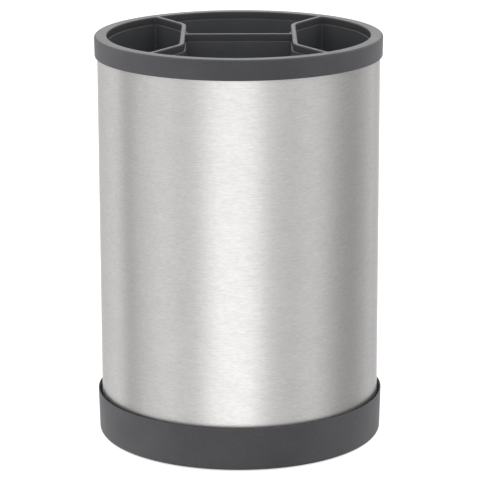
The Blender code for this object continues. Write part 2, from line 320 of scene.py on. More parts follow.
class Pen:
    """Draws wires as by hand: from one vertex, lines by extrusion and rounds by spin."""

    def __init__(self, name: str, sheet: Sheet) -> None:
        """Starts an empty drawing.

        Args:
            name: The name of the drawing's object.
            sheet: The plane to draw on.
        """
        self.name = name
        self.sheet = sheet
        self.height = 0.0
        self.at: Point = (0.0, 0.0)
        self.shape: Object | None = None

    def place(self, point: Point) -> Vector:
        """Finds a drawing point in space.

        Args:
            point: The point.

        Returns:
            Its place.
        """
        if self.sheet is Sheet.SECTION:
            return Vector((point[0], 0.0, point[1]))
        return Vector((point[0], point[1], self.height))

    def start(self, point: Point, height: float = 0.0) -> None:
        """Puts the pen down: adds a tiny plane and merges it to one vertex.

        Args:
            point: Where the wire starts.
            height: The height of a plan drawing.
        """
        self.height = height
        self.at = point
        if self.shape:
            bpy.ops.mesh.select_all(action="DESELECT")
            bpy.ops.mesh.primitive_plane_add(size=PEN_SIZE, location=self.place(point))
            bpy.ops.mesh.merge(type="CENTER")
            return
        deselect()
        bpy.ops.mesh.primitive_plane_add(size=PEN_SIZE)
        self.shape = bpy.context.object
        self.shape.name = self.name
        edit(self.shape)
        bpy.ops.mesh.merge(type="CENTER")
        bpy.ops.transform.translate(value=self.place(point))

    def line(self, point: Point) -> None:
        """Draws a straight line.

        Args:
            point: Where it ends.
        """
        step = self.place(point) - self.place(self.at)
        if step.length > MERGE:
            bpy.ops.mesh.extrude_region_move(TRANSFORM_OT_translate={"value": step})
            self.at = point

    def sweep(self, centre: Point, angle: float, steps: int) -> None:
        """Draws an arc about a centre.

        Args:
            centre: The arc's centre.
            angle: How far it turns, counter-clockwise where positive. The operator turns the other way.
            steps: How many chords it has.
        """
        bpy.ops.mesh.spin(steps=steps, angle=-angle, center=self.place(centre),
                          axis=self.sheet.value, use_auto_merge=False)
        across, up = self.at[0] - centre[0], self.at[1] - centre[1]
        cos, sin = math.cos(angle), math.sin(angle)
        self.at = (centre[0] + across * cos - up * sin, centre[1] + across * sin + up * cos)

    def corners(self, path: Sequence[Corner], closed: bool) -> None:
        """Draws a wire through corners, each rounded to its own radius.

        Args:
            path: Corners as (across, up, radius). The ends of an open wire stay sharp.
            closed: Whether the wire runs back to its start.
        """
        count = len(path)
        first, last = path[0][:2], path[-1][:2]
        if closed:
            first = last = ((first[0] + last[0]) / 2, (first[1] + last[1]) / 2)
        self.start(first)
        for index in range(count) if closed else range(1, count - 1):
            self.corner(path[index - 1], path[index], path[(index + 1) % count])
        self.line(last)

    def corner(self, before: Corner, here: Corner, after: Corner) -> None:
        """Draws up to a corner and round it, or to the corner itself where it is sharp.

        Args:
            before: The corner before this one.
            here: This corner, with its radius.
            after: The corner after this one.
        """
        point = Vector(here[:2])
        coming = (point - Vector(before[:2])).normalized()
        going = (Vector(after[:2]) - point).normalized()
        turn = math.atan2(coming.x * going.y - coming.y * going.x, coming.dot(going))
        if here[2] <= 0.0:
            self.line((point.x, point.y))
            return
        start = point - coming * here[2] * math.tan(abs(turn) / 2)
        centre = start + Vector((-coming.y, coming.x)) * math.copysign(here[2], turn)
        self.line((start.x, start.y))
        chords = max(LEAST_CHORDS, math.ceil(abs(turn) / ROUND_STEP))
        self.sweep((centre.x, centre.y), turn, chords)

    def lift(self) -> Object:
        """Lifts the pen and returns the drawing."""
        leave()
        return self.shape


def turned(name: str, path: Sequence[Corner], closed: bool, steps: int = TURN_STEPS) -> Object:
    """Turns a section about the Z axis into a closed piece.

    Args:
        name: The piece's name.
        path: The section's corners as (radius, height, rounding).
        closed: True for a ring. An open section's two ends are closed by flat discs.
        steps: How many steps the turn takes.

    Returns:
        The piece.
    """
    pen = Pen(name, Sheet.SECTION)
    pen.corners(path, closed)
    bpy.ops.mesh.select_all(action="SELECT")
    bpy.ops.mesh.spin(steps=steps, angle=math.tau, center=ORIGIN, axis=UP)
    bpy.ops.mesh.select_all(action="SELECT")
    bpy.ops.mesh.remove_doubles(threshold=MERGE)
    close_ends()
    return pen.lift()


def close_ends() -> None:
    """Fills each open loop with one flat face and points all faces outwards, in edit mode."""
    bpy.ops.mesh.select_mode(type="EDGE")
    bpy.ops.mesh.select_all(action="DESELECT")
    bpy.ops.mesh.select_non_manifold(extend=False)
    bpy.ops.mesh.fill_holes(sides=0)
    bpy.ops.mesh.select_all(action="SELECT")
    bpy.ops.mesh.normals_make_consistent(inside=False)


@dataclass(frozen=True)
class Partitions:
    """Plan of the partitions: a divider on the X axis between two bent side walls.

    Attributes:
        offset: Distance of the side walls' straight stretch from the middle.
        corner: How far along Y the straight stretch would run without its bend.
        bend: Radius of the bend, at the wall's middle.
        slant: Angle of the slanted stretch from the X axis.
        fillet: Rounding of the upright corners at the cells' round wall.
        divider_fillet: Rounding of the upright corners at the divider's ends.
        arc_steps: Chords of half a cell's round wall.
        bend_steps: Chords of a bend.
        corner_steps: Chords of an upright corner.
    """

    offset: float = 25.0 * MM
    corner: float = 26.0 * MM
    bend: float = 14.0 * MM
    slant: float = math.radians(57.3)
    fillet: float = 1.2 * MM
    divider_fillet: float = 0.3 * MM
    arc_steps: int = 64
    bend_steps: int = 12
    corner_steps: int = 8

    @property
    def bend_centre(self) -> Point:
        """Centre of the bend in the quarter x > 0, y > 0."""
        drop = self.bend * (1 - math.sin(self.slant)) / math.cos(self.slant)
        return (self.offset + self.bend, self.corner - drop)

    def fillet_centre(self, radius: float, aside: float) -> Point:
        """Returns the centre of a fillet between the slanted stretch and the round wall.

        Args:
            radius: Distance of the centre from the axis.
            aside: Distance of the centre from the slanted middle line, positive in the side cell.

        Returns:
            The centre, in the quarter x > 0, y > 0.
        """
        along = Vector((math.cos(self.slant), math.sin(self.slant)))
        start = Vector((self.offset, self.corner)) + Vector((along.y, -along.x)) * aside
        forward = start.dot(along)
        reach = math.sqrt(forward ** 2 - start.length_squared + radius ** 2)
        point = start + along * (reach - forward)
        return (point.x, point.y)

    def draw(self, pen: Pen, kind: CellKind, radius: float, half: float, height: float) -> None:
        """Draws half of a cell's outline: a side cell's +Y half, or a centre cell's +X half.

        Args:
            pen: The pen to draw with.
            kind: Which cell.
            radius: Radius of the round wall.
            half: Half the thickness of the partitions.
            height: Height of the outline.
        """
        side = kind is CellKind.SIDE
        sign = 1.0 if side else -1.0
        turn = math.pi / 2 + self.slant
        bend = self.bend_centre
        fillet = self.fillet_centre(radius - self.fillet, sign * (half + self.fillet))
        reach = math.atan2(fillet[1], fillet[0])
        facing = turn if side else turn - math.pi
        if side:
            pen.start((self.offset + half, 0.0), height)
        else:
            pen.start((0.0, half), height)
            foot = (self.offset - half - self.divider_fillet, half + self.divider_fillet)
            pen.line((foot[0], half))
            pen.sweep(foot, math.pi / 2, self.corner_steps)
        pen.line((self.offset + sign * half, bend[1]))
        pen.sweep(bend, turn - math.pi, self.bend_steps)
        pen.line((fillet[0] + self.fillet * math.cos(facing),
                  fillet[1] + self.fillet * math.sin(facing)))
        pen.sweep(fillet, reach - facing, self.corner_steps)
        pen.sweep((0.0, 0.0), (0.0 if side else math.pi / 2) - reach, self.arc_steps)

    def cutter(self, levels: Sequence[Point], radius: float, half: float) -> Object:
        """Returns the four cells as solids, bridged through levels.

        Args:
            levels: Pairs of a height and an inset, which makes the cells smaller all round.
            radius: Radius of the cells' round wall at inset 0.
            half: Half the thickness of the partitions at inset 0.

        Returns:
            One object with the four solids.
        """
        cells = []
        for kind in CellKind:
            pen = Pen(f"{kind.value}_cells", Sheet.PLAN)
            for height, inset in levels:
                self.draw(pen, kind, radius - inset, half + inset, height)
            cell = pen.lift()
            side = kind is CellKind.SIDE
            apply_modifier(cell, "MIRROR", use_axis=(not side, side, False), merge_threshold=MERGE)
            edit(cell, "EDGE")
            bpy.ops.mesh.bridge_edge_loops()
            close_ends()
            leave()
            cells += [cell, turned_copy(cell, f"{kind.value}_cells_opposite", math.pi)]
        return join(cells)


def rounding(radius: float, steps: int) -> list[Point]:
    """Returns the (aside, up) points of a quarter round that starts upright and ends level."""
    turns = [math.pi / 2 * step / steps for step in range(steps + 1)]
    return [(radius * (1 - math.cos(turn)), radius * math.sin(turn)) for turn in turns]


def flare(top: float, radius: float, steps: int) -> list[Point]:
    """Returns a cutter's levels that leave a rounded edge where it comes out of a flat top.

    Args:
        top: Height of the flat top.
        radius: Rounding of the edge.
        steps: Steps of the rounding.

    Returns:
        Pairs of a height and an inset, from the rounding's foot to a level above the top.
    """
    levels = [(top - radius + up, -aside) for aside, up in rounding(radius, steps)[:-1]]
    return levels + [(2 * top - levels[-1][0], -2 * radius - levels[-1][1])]


@dataclass(frozen=True)
class BrushedStainless:
    """Stainless steel sheet, belt-brushed round the sleeve before it was rolled.

    The brushing draws each reflection out up and down, which gives the upright soft bands. Its fine
    lines run level.

    Attributes:
        dull: Colour in the scratches.
        bright: Colour between them.
        roughness: Lowest and highest roughness.
        anisotropy: How much longer a reflection is than wide.
        turn: Turns of the reflection from level to upright.
        line_length: Length of a brush line.
        line_width: Height of a brush line. Real ones are 0.1 mm, drawn coarser so that they show.
        streak_length: Length of a wider streak.
        streak_width: Height of a wider streak.
        streak_share: How much of the tone the streaks make.
        patch: Size of the slow changes of tone.
        patch_share: How much of the tone they make.
        relief: Depth of the brush lines.
        contrast: Noise levels that count as 0 and 1.
    """

    dull: str = "#CAC9C8"
    bright: str = "#E6E4E2"
    roughness: tuple[float, float] = (0.32, 0.38)
    anisotropy: float = 0.7
    turn: float = 0.25
    line_length: float = 2.3 * MM
    line_width: float = 0.44 * MM
    streak_length: float = 8.0 * MM
    streak_width: float = 1.0 * MM
    streak_share: float = 0.3
    patch: float = 13.0 * MM
    patch_share: float = 0.15
    relief: float = 0.002 * MM
    contrast: Point = (0.25, 0.75)

    def make(self) -> Material:
        """Makes the material.

        Returns:
            The material.
        """
        material = bpy.data.materials.new("brushed_stainless_sheet")
        tree = blank_tree(material)
        place = add_node(tree, "TexCoord").outputs["Object"]
        lines = self.layer(tree, place, self.line_length, self.line_width)
        streaks = self.layer(tree, place, self.streak_length, self.streak_width)
        patches = self.layer(tree, place, self.patch, self.patch)
        grain = add_node(tree, "Mix", {0: self.streak_share, 2: lines, 3: streaks})
        tone = add_node(tree, "Mix", {0: self.patch_share, 2: grain, 3: patches})
        colour = add_node(tree, "Mix", {0: tone, 6: srgb(self.dull), 7: srgb(self.bright)},
                          data_type="RGBA")
        rough = add_node(tree, "MapRange", {0: tone, 3: self.roughness[1], 4: self.roughness[0]})
        bump = add_node(tree, "Bump", {"Strength": 1.0, "Distance": self.relief, "Height": grain})
        tangent = add_node(tree, "Tangent", direction_type="RADIAL", axis="Z")
        shader = add_node(tree, "BsdfPrincipled", {
            "Base Color": colour.outputs[2], "Roughness": rough, "Metallic": 1.0,
            "Anisotropic": self.anisotropy, "Anisotropic Rotation": self.turn,
            "Tangent": tangent, "Normal": bump})
        add_node(tree, "OutputMaterial", {"Surface": shader})
        return material

    def layer(self, tree: NodeTree, place: NodeSocket, length: float, height: float) -> Node:
        """Returns a noise from 0 to 1, drawn out level.

        Args:
            tree: The node tree.
            place: The Object coordinates.
            length: Size of its features along the brushing.
            height: Their height.

        Returns:
            The noise's last node.
        """
        spread = (1 / length, 1 / length, 1 / height)
        drawn = add_node(tree, "Mapping", {"Vector": place, "Scale": spread})
        noise = add_node(tree, "TexNoise", {"Vector": drawn, "Scale": 1.0, "Detail": GRAIN_DETAIL})
        return add_node(tree, "MapRange", {0: noise, 1: self.contrast[0], 2: self.contrast[1]})


@dataclass(frozen=True)
class Moulded:
    """Moulded plastic or rubber with a fine eroded texture, which scatters its gloss.

    Attributes:
        name: What it is.
        dark: Colour in the texture's pits.
        light: Colour on its high places.
        roughness: Lowest and highest roughness.
        ior: Index of refraction.
        grit: Size of the texture. A real one is 0.1 mm, drawn coarser so that it shows.
        relief: Depth of the texture.
        cloud: Size of the slow changes where the melt flowed.
        cloud_share: How much of the tone they make.
        contrast: Levels of that tone that count as dark and light.
    """

    name: str
    dark: str
    light: str
    roughness: tuple[float, float]
    ior: float
    grit: float = 0.35 * MM
    relief: float = 0.006 * MM
    cloud: float = 18.0 * MM
    cloud_share: float = 0.3
    contrast: Point = (0.3, 0.7)

    def make(self) -> Material:
        """Makes the material.

        Returns:
            The material.
        """
        material = bpy.data.materials.new(self.name)
        tree = blank_tree(material)
        place = add_node(tree, "TexCoord").outputs["Object"]
        grit, cloud = (
            add_node(tree, "TexNoise", {"Vector": place, "Scale": 1 / size, "Detail": detail})
            for size, detail in ((self.grit, GRAIN_DETAIL), (self.cloud, CLOUD_DETAIL)))
        tone = add_node(tree, "Mix", {0: self.cloud_share, 2: grit, 3: cloud})
        spread = add_node(tree, "MapRange", {0: tone, 1: self.contrast[0], 2: self.contrast[1]})
        colour = add_node(tree, "Mix", {0: spread, 6: srgb(self.dark), 7: srgb(self.light)},
                          data_type="RGBA")
        rough = add_node(tree, "MapRange", {0: spread, 3: self.roughness[1], 4: self.roughness[0]})
        bump = add_node(tree, "Bump", {"Strength": 1.0, "Distance": self.relief, "Height": grit})
        shader = add_node(tree, "BsdfPrincipled", {
            "Base Color": colour.outputs[2], "Roughness": rough, "IOR": self.ior, "Normal": bump})
        add_node(tree, "OutputMaterial", {"Surface": shader})
        return material


POLYPROPYLENE = Moulded("charcoal_polypropylene", "#3B3B3D", "#4E4E50", (0.35, 0.45), 1.29)
# The liner is the same charcoal plastic as the rim frame. Its finer relief is real, but its colours are
# painted lighter: painted light that lifts the shade in the deep cells.
PAINTED_LIGHT_LINER_POLYPROPYLENE = Moulded("smooth_charcoal_polypropylene_painted_light", "#454648", "#535456", (0.34, 0.42),
                              1.29, relief=0.003 * MM)
RUBBER = Moulded("moulded_rubber", "#161616", "#202020", (0.75, 0.9), 1.52, relief=0.02 * MM)


class SubAssembly:
    """What the sub-assemblies share: how a finished piece is dressed."""

    @staticmethod
    def dress(piece: Object, material: Material, body: Body, slot: Slot, nodes: Iterable[str]) -> None:
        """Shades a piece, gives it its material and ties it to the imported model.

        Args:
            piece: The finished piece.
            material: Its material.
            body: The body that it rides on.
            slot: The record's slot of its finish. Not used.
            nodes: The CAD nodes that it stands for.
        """
        pick(piece)
        bpy.ops.object.shade_smooth_by_angle(angle=SMOOTH_ANGLE)
        piece.data.materials.clear()
        piece.data.materials.append(material)
        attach(piece, body.value)
        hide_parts(*nodes)
        LOG.info("%s: %d faces, rides on %s", piece.name, len(piece.data.polygons), body.value)


@dataclass
class Sleeve(SubAssembly):
    """Rolled stainless tube with a ground weld line down its back.

    Attributes:
        wall: Thickness of the sheet.
        edge: Rounding of its cut edges.
        weld_width: Width of the ground weld.
        weld_depth: How far the weld lies below the surface.
    """

    wall: float = 0.6 * MM
    edge: float = 0.15 * MM
    weld_width: float = 0.9 * MM
    weld_depth: float = 0.04 * MM

    def build(self) -> Object:
        """Turns the tube and grinds its weld line flat.

        Returns:
            The piece.
        """
        low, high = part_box("steel_sleeve")
        inner = high.x - self.wall
        path = [(high.x, low.z, self.edge), (high.x, high.z, self.edge),
                (inner, high.z, self.edge), (inner, low.z, self.edge)]
        piece = turned("sleeve", path, closed=True)
        long_edge = (high.z - low.z) / 2
        select_where(piece, "EDGE", lambda edge: edge.calc_length() > long_edge and all(
            abs(end.co.x) < PLANE_TOLERANCE and end.co.y > inner + self.wall / 2 for end in edge.verts))
        bpy.ops.mesh.bevel(offset=self.weld_width / 2, segments=BEVEL_STEPS)
        bpy.ops.transform.translate(value=(0.0, -self.weld_depth, 0.0))
        leave()
        clean(piece)
        return piece


@dataclass
class Base(SubAssembly):
    """Moulded base with a lip round the sleeve, a groove for it, and a ribbed underside.

    Attributes:
        wall: Thickness of the lip.
        draft: How much narrower the foot is than the lip.
        foot_round: Rounding of the outer foot edge.
        lip_round: Rounding of the lip.
        edge: Rounding of the other edges.
        lead_in: Width and depth of the groove's lead-in.
        foot_ring: Width of the foot ring.
        floor: Thickness of the floor.
        locator: Height and wall of the ring inside the sleeve.
        locator_gap: Gap from that ring to the liner.
        hub: Radius and wall of the ring under the middle.
        rib: Width and depth of the ribs.
        overlap: How far ribs and rings reach up into the floor.
        ring_depth: Depth of the hub ring and the pad sockets.
        rib_count: How many ribs the underside has.
        socket_wall: Wall of a pad socket.
    """

    wall: float = 1.5 * MM
    draft: float = 0.5 * MM
    foot_round: float = 1.7 * MM
    lip_round: float = 0.2 * MM
    edge: float = 0.2 * MM
    lead_in: Point = (1.15 * MM, 2.4 * MM)
    foot_ring: float = 6.0 * MM
    floor: float = 2.0 * MM
    locator: Point = (7.5 * MM, 1.2 * MM)
    locator_gap: float = 0.3 * MM
    hub: Point = (12.0 * MM, 1.4 * MM)
    rib: Point = (1.4 * MM, 1.0 * MM)
    overlap: float = 0.5 * MM
    ring_depth: float = 1.4 * MM
    rib_count: int = 12
    socket_wall: float = 1.2 * MM

    def build(self) -> Object:
        """Turns the moulding and joins on the ribs and rings of its underside.

        Returns:
            The piece.
        """
        low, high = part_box("base_tray")
        liner_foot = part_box("cell_liner")[1].x - SnapBead.height - Liner.draft
        floor_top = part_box("steel_sleeve")[0].z - SEAT_GAP
        recess_z = floor_top - self.floor
        recess = high.x - self.draft - self.foot_ring
        groove = high.x - self.wall
        locator_inner = liner_foot + self.locator_gap
        locator_outer = locator_inner + self.locator[1]
        locator_top = floor_top + self.locator[0]
        disc = self.hub[0] - self.hub[1] / 2
        path = [(disc, recess_z, 0.0), (recess, recess_z, self.edge), (recess, low.z, self.edge),
                (high.x - self.draft, low.z, self.foot_round), (high.x, high.z, self.lip_round),
                (groove + self.lead_in[0], high.z, self.edge / 2),
                (groove, high.z - self.lead_in[1], self.edge),
                (groove, floor_top, self.edge), (locator_outer, floor_top, self.edge),
                (locator_outer, locator_top, 2 * self.edge),
                (locator_inner, locator_top, 2 * self.edge),
                (locator_inner, floor_top, self.edge), (disc, floor_top, 0.0)]
        piece = turned("base_moulding", path, closed=False)
        combine(piece, self.rings(recess_z), "UNION")
        combine(piece, self.ribs(recess_z, recess), "UNION")
        return piece

    def rings(self, recess_z: float) -> Object:
        """Returns the hub ring and the pad sockets, which hang from the floor.

        Args:
            recess_z: Height of the floor's underside.

        Returns:
            One object.
        """
        low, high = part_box(PADS[0])
        socket = (high.x - low.x) / 2 + SEAT_GAP
        bottom, top = recess_z - self.ring_depth, recess_z + self.overlap
        made = []
        for name in ("hub", *PADS):
            wall = self.socket_wall if name in PADS else self.hub[1]
            inner = socket if name in PADS else self.hub[0] - wall
            path = [(inner, top, 0.0), (inner, bottom, self.edge),
                    (inner + wall, bottom, self.edge), (inner + wall, top, 0.0)]
            made.append(turned(f"{name}_ring", path, closed=True, steps=SMALL_TURN_STEPS))
            if name in PADS:
                move_to(made[-1], name)
        return join(made)

    def ribs(self, recess_z: float, recess: float) -> Object:
        """Returns the ribs: one modelled, the rest turned copies of it.

        Args:
            recess_z: Height of the floor's underside.
            recess: Radius at which the ribs end in the foot ring.

        Returns:
            One object.
        """
        inner, outer = self.hub[0] - self.hub[1] / 2, recess + self.edge
        bottom, top = recess_z - self.rib[1], recess_z + self.overlap
        middle = ((inner + outer) / 2, 0.0, (bottom + top) / 2)
        deselect()
        bpy.ops.mesh.primitive_cube_add(size=1.0, location=middle)
        rib = bpy.context.object
        rib.scale = (outer - inner, self.rib[0], top - bottom)
        bpy.ops.object.transform_apply(location=True, scale=True)
        select_where(rib, "EDGE", lambda edge: all(end.co.z < recess_z for end in edge.verts))
        bpy.ops.mesh.bevel(offset=self.edge, segments=BEVEL_STEPS)
        leave()
        return join([rib] + [turned_copy(rib, f"rib_{index}", math.tau * index / self.rib_count)
                             for index in range(1, self.rib_count)])


@dataclass
class Pad(SubAssembly):
    """Round non-slip pad with a shallow dish underneath.

    Attributes:
        edge: Rounding of its lower edge.
        dish_share: Radius of the dish as a share of the pad's.
        dish: Depth of the dish.
    """

    edge: float = 0.4 * MM
    dish_share: float = 0.6
    dish: float = 0.2 * MM

    def build(self, node: str) -> Object:
        """Turns a pad and sets it where its node is.

        Args:
            node: The CAD node.

        Returns:
            The piece.
        """
        low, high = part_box(node)
        radius = (high.x - low.x) / 2
        dish = radius * self.dish_share
        path = [(dish / 2, self.dish, 0.0), (dish, self.dish, self.edge),
                (dish + 2 * self.dish, 0.0, self.edge / 2), (radius, 0.0, self.edge),
                (radius, high.z, self.edge / 2), (dish / 2, high.z, 0.0)]
        piece = turned(f"foot_{node}", path, closed=False, steps=SMALL_TURN_STEPS)
        move_to(piece, node)
        return piece


@dataclass
class SnapBead:
    """Bead round the liner and its groove in the rim frame, which hold the two together.

    Attributes:
        height: How far the bead stands out.
        width: Its width.
        drop: How far its middle lies below the liner's top edge.
    """

    height: float = 0.5 * MM
    width: float = 1.8 * MM
    drop: float = 3.0 * MM

    def corners(self, radius: float, top: float, room: float) -> list[Corner]:
        """Returns the bead's corners, from the bottom up.

        Args:
            radius: Radius of the wall it stands on.
            top: Height of the liner's top edge.
            room: How much wider a groove is than the bead.

        Returns:
            Corners as (radius, height, rounding).
        """
        middle = top - self.drop
        half = self.width / 2 + room
        return [(radius, middle - half, 0.0), (radius + self.height, middle, self.height / 2),
                (radius, middle + half, 0.0)]


@dataclass
class RimFrame(SubAssembly):
    """Rim with a skirt outside the sleeve, a spigot inside it and the partitions' flush tops.

    Attributes:
        edge_round: Rounding of the rim's outer top edge.
        draft: How much narrower the skirt is at its lower edge.
        edge: Rounding of the other edges.
        spigot_wall: Wall of the spigot.
        spigot_depth: Depth of the spigot below the flange.
        spigot_lead: Rounding that leads the spigot in.
        cap_depth: Depth of the partition tops.
        cap: Width of the partition tops.
        cap_round: Rounding of the cells' top edges.
        round_steps: Steps of that rounding.
        opening: Inset of the cells' round wall from the rim's outside.
        support: Width of the strip that keeps the flat top flat beside a rounding.
    """

    edge_round: float = 1.0 * MM
    draft: float = 0.15 * MM
    edge: float = 0.2 * MM
    spigot_wall: float = 1.6 * MM
    spigot_depth: float = 6.2 * MM
    spigot_lead: float = 0.4 * MM
    cap_depth: float = 3.2 * MM
    cap: float = 2.2 * MM
    cap_round: float = 0.6 * MM
    round_steps: int = 6
    opening: float = 5.7 * MM
    support: float = 0.08 * MM

    def build(self, plan: Partitions, bead: SnapBead) -> Object:
        """Turns the frame and cuts its four openings.

        Args:
            plan: The partitions' plan.
            bead: The snap bead that its spigot takes.

        Returns:
            The piece.
        """
        low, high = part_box("rim_frame")
        _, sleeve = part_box("steel_sleeve")
        liner_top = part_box("cell_liner")[1].z
        opening = high.x - self.opening
        flange_z = sleeve.z + SEAT_GAP
        groove = sleeve.x + SEAT_GAP
        spigot = sleeve.x - Sleeve.wall - SEAT_GAP
        inner = spigot - self.spigot_wall
        cap_z = high.z - self.cap_depth
        spigot_z = flange_z - self.spigot_depth
        disc = opening - OVERRUN
        path = [(disc, high.z, 0.0), (high.x, high.z, self.edge_round),
                (high.x - self.draft, low.z, self.edge), (groove, low.z, self.edge),
                (groove, flange_z, self.edge), (spigot, flange_z, self.edge),
                (spigot, spigot_z, self.spigot_lead), (inner, spigot_z, self.edge)]
        path += bead.corners(inner, liner_top, SEAT_GAP)
        path += [(inner, cap_z, 0.0), (disc, cap_z, 0.0)]
        piece = turned("rim_frame_moulding", path, closed=False)
        levels = [(cap_z - OVERRUN, 0.0)] + flare(high.z, self.cap_round, self.round_steps)
        combine(piece, plan.cutter(levels, opening, self.cap / 2), "DIFFERENCE")
        self.flatten(piece, high.z)
        return piece

    def flatten(self, piece: Object, top: float) -> None:
        """Dissolves the flat top into few faces, with a narrow strip along its edges.

        Args:
            piece: The frame.
            top: Height of the flat top.
        """
        select_where(piece, "FACE", lambda face: all(abs(corner.co.z - top) < PLANE_TOLERANCE
                                                     for corner in face.verts))
        bpy.ops.mesh.dissolve_limited(angle_limit=FLAT_ANGLE)
        bpy.ops.mesh.inset(thickness=self.support, use_even_offset=True)
        leave()


@dataclass
class Liner(SubAssembly):
    """Deep cup of four drafted cells, whose top edge shows as a fine ledge below the rim frame.

    Attributes:
        wall: Wall of the cup at its top.
        draft: How much narrower the foot is.
        foot_round: Rounding of the foot.
        floor: Thickness of the floor.
        ledge: How far its walls stand inside the frame's openings.
        cell_draft: How much each cell narrows to its floor.
        corner_round: Rounding of the cells' upright corners.
        ledge_round: Rounding of the ledge, which catches a fine line of light.
        ledge_steps: Steps of that rounding.
        floor_round: Rounding where the walls meet the floor.
        edge: Rounding of its top edge.
        seat: Gap left under the rim frame.
        round_steps: Steps of the floor's rounding.
        drain: Radius and pitch of the drain holes.
        drain_count: How many a cell has.
    """

    wall: float = 2.1 * MM
    draft: float = 0.6 * MM
    foot_round: float = 1.5 * MM
    floor: float = 2.0 * MM
    ledge: float = 0.5 * MM
    cell_draft: float = 0.3 * MM
    corner_round: float = 0.8 * MM
    ledge_round: float = 0.4 * MM
    ledge_steps: int = 4
    floor_round: float = 2.0 * MM
    edge: float = 0.15 * MM
    seat: float = 0.05 * MM
    round_steps: int = 5
    drain: Point = (1.8 * MM, 15.0 * MM)
    drain_count: int = 3

    def build(self, plan: Partitions, bead: SnapBead, frame: RimFrame) -> Object:
        """Turns the cup and cuts its cells and drain holes.

        Args:
            plan: The partitions' plan.
            bead: The snap bead round it.
            frame: The rim frame that it hangs from.

        Returns:
            The piece.
        """
        low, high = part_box("cell_liner")
        radius = high.x - bead.height
        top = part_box("rim_frame")[1].z - frame.cap_depth - self.seat
        cell = radius - self.wall
        disc = cell - OVERRUN
        path = [(disc, low.z, 0.0), (radius - self.draft, low.z, self.foot_round)]
        path += bead.corners(radius, high.z, 0.0)
        path += [(radius, top, self.edge), (disc, top, 0.0)]
        piece = turned("liner_moulding", path, closed=False)
        start = low.z + self.floor + self.floor_round
        levels = flare(top, self.ledge_round, self.ledge_steps)[::-1]
        levels += [(start - up, self.cell_draft + aside)
                   for aside, up in rounding(self.floor_round, self.round_steps)]
        inner = replace(plan, fillet=self.corner_round)
        combine(piece, inner.cutter(levels, cell, frame.cap / 2 + self.ledge), "DIFFERENCE")
        combine(piece, self.drains(plan, cell, low.z), "DIFFERENCE")
        return piece

    def drains(self, plan: Partitions, cell: float, bottom: float) -> Object:
        """Returns the plugs that cut the drain holes.

        Args:
            plan: The partitions' plan.
            cell: Radius of the cells.
            bottom: Height of the cup's underside.

        Returns:
            The plugs in one object.
        """
        side, centre = (plan.offset + cell) / 2, cell / 2
        plugs = []
        for index in range(self.drain_count):
            shift = self.drain[1] * (index - (self.drain_count - 1) / 2)
            for place in ((side, shift), (-side, shift), (shift, centre), (shift, -centre)):
                deselect()
                bpy.ops.mesh.primitive_cylinder_add(
                    vertices=SMALL_TURN_STEPS // 2, radius=self.drain[0],
                    depth=self.floor + 2 * OVERRUN, location=(*place, bottom + self.floor / 2))
                plugs.append(bpy.context.object)
                bpy.ops.object.transform_apply(location=True)
        return join(plugs)


@dataclass(frozen=True)
class Panel:
    """A soft panel of the light tent, or a dark one where its level is below zero.

    Attributes:
        bearing: Its direction in degrees from the front, positive to the +X side.
        core: Half its width in degrees at full level.
        reach: Where it has faded out, in degrees from its middle.
        level: What it adds to the tent's light.
    """

    bearing: float
    core: float
    reach: float
    level: float


@dataclass(frozen=True)
class StripLight:
    """Low strip light beside the object.

    It stays below the rim, so it lights the skirts and not the cells.

    Attributes:
        name: Its name.
        bearing: Its direction in degrees from the front, positive to the +X side.
        power: Its power in watts.
        away: Its distance from the object's axis.
        width: Its width.
        height: Its height.
        foot: Gap between it and the floor.
    """

    name: str
    bearing: float
    power: float
    away: float = 1.6
    width: float = 0.8
    height: float = 0.17
    foot: float = 5.0 * MM

    def build(self) -> None:
        """Adds the light, facing the object. Neither the camera nor a mirror image sees it."""
        turn = math.radians(self.bearing)
        place = Vector((math.sin(turn), -math.cos(turn), 0.0)) * self.away
        middle = place + Vector(UP) * (self.height / 2 + self.foot)
        bpy.ops.object.light_add(type="AREA", location=middle)
        light = bpy.context.object
        light.name = self.name
        light.rotation_euler = (-place).to_track_quat("-Z", "Y").to_euler()
        light.data.shape = "RECTANGLE"
        light.data.size = self.width
        light.data.size_y = self.height
        light.data.energy = self.power
        light.visible_glossy = False
        light.visible_camera = False


